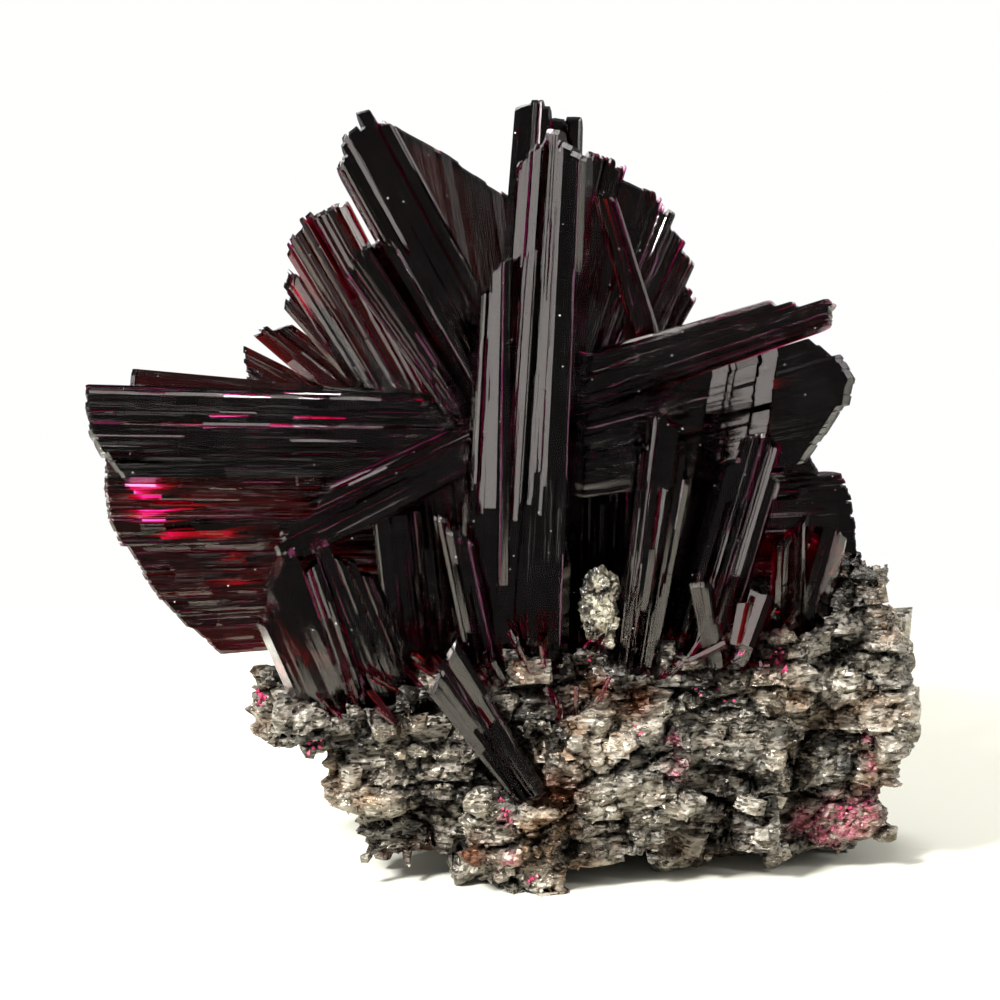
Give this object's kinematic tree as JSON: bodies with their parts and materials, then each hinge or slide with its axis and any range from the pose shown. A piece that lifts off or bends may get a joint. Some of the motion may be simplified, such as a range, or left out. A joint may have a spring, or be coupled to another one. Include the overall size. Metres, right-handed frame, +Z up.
{
  "type": "crystal specimen",
  "caption": "Cluster of dark crimson-black bladed erythrite crystals radiating in sheaves from a rough block of grey-brown layered schist.",
  "frame": {"origin": "on the resting plane, under the middle of the specimen's box", "axes": "+X to the right along the longest side of the rock, +Y to the back, +Z up out of the resting plane"},
  "size_m": [0.0466, 0.027, 0.0429],
  "materials": {
    "crystal": "Clear, very dark crimson-purple crystal with striated, glossy faces; thin edges glow magenta.",
    "rock": "Rough layered schist, grey with brown stains, dark gaps and small shiny flecks.",
    "quartz": "Pale sparkling crystalline lump."
  },
  "bodies": {
    "root": {"central_column": "crystal", "rear_column": "crystal", "left_front_needles": "crystal", "upper_left_front_fan": "crystal", "upper_left_sheaf": "crystal", "left_upper_blade": "crystal", "right_needles": "crystal", "right_blade": "crystal", "front_prism_cluster": "crystal", "leaning_blade": "crystal", "lower_left_pale_prism": "crystal", "lower_left_dark_fan": "crystal", "diagonal_blade": "crystal", "centre_front_blades": "crystal", "left_lower_blade": "crystal", "left_top_splinter": "crystal", "upper_left_red_fan": "crystal", "left_back_fan": "crystal", "upper_back_blade": "crystal", "upper_right_fan": "crystal", "right_front_needle": "crystal", "right_lower_fan": "crystal", "right_gem_crystals": "crystal", "front_small_crystal_right": "crystal", "front_small_crystal_left": "crystal", "lower_centre_blades": "crystal", "lower_right_blades": "crystal", "rear_upper_fan": "crystal", "rear_left_fan": "crystal", "rear_right_fan": "crystal", "rear_low_blades": "crystal", "quartz_lump": "quartz", "schist_matrix": "rock"}
  },
  "joints": []
}
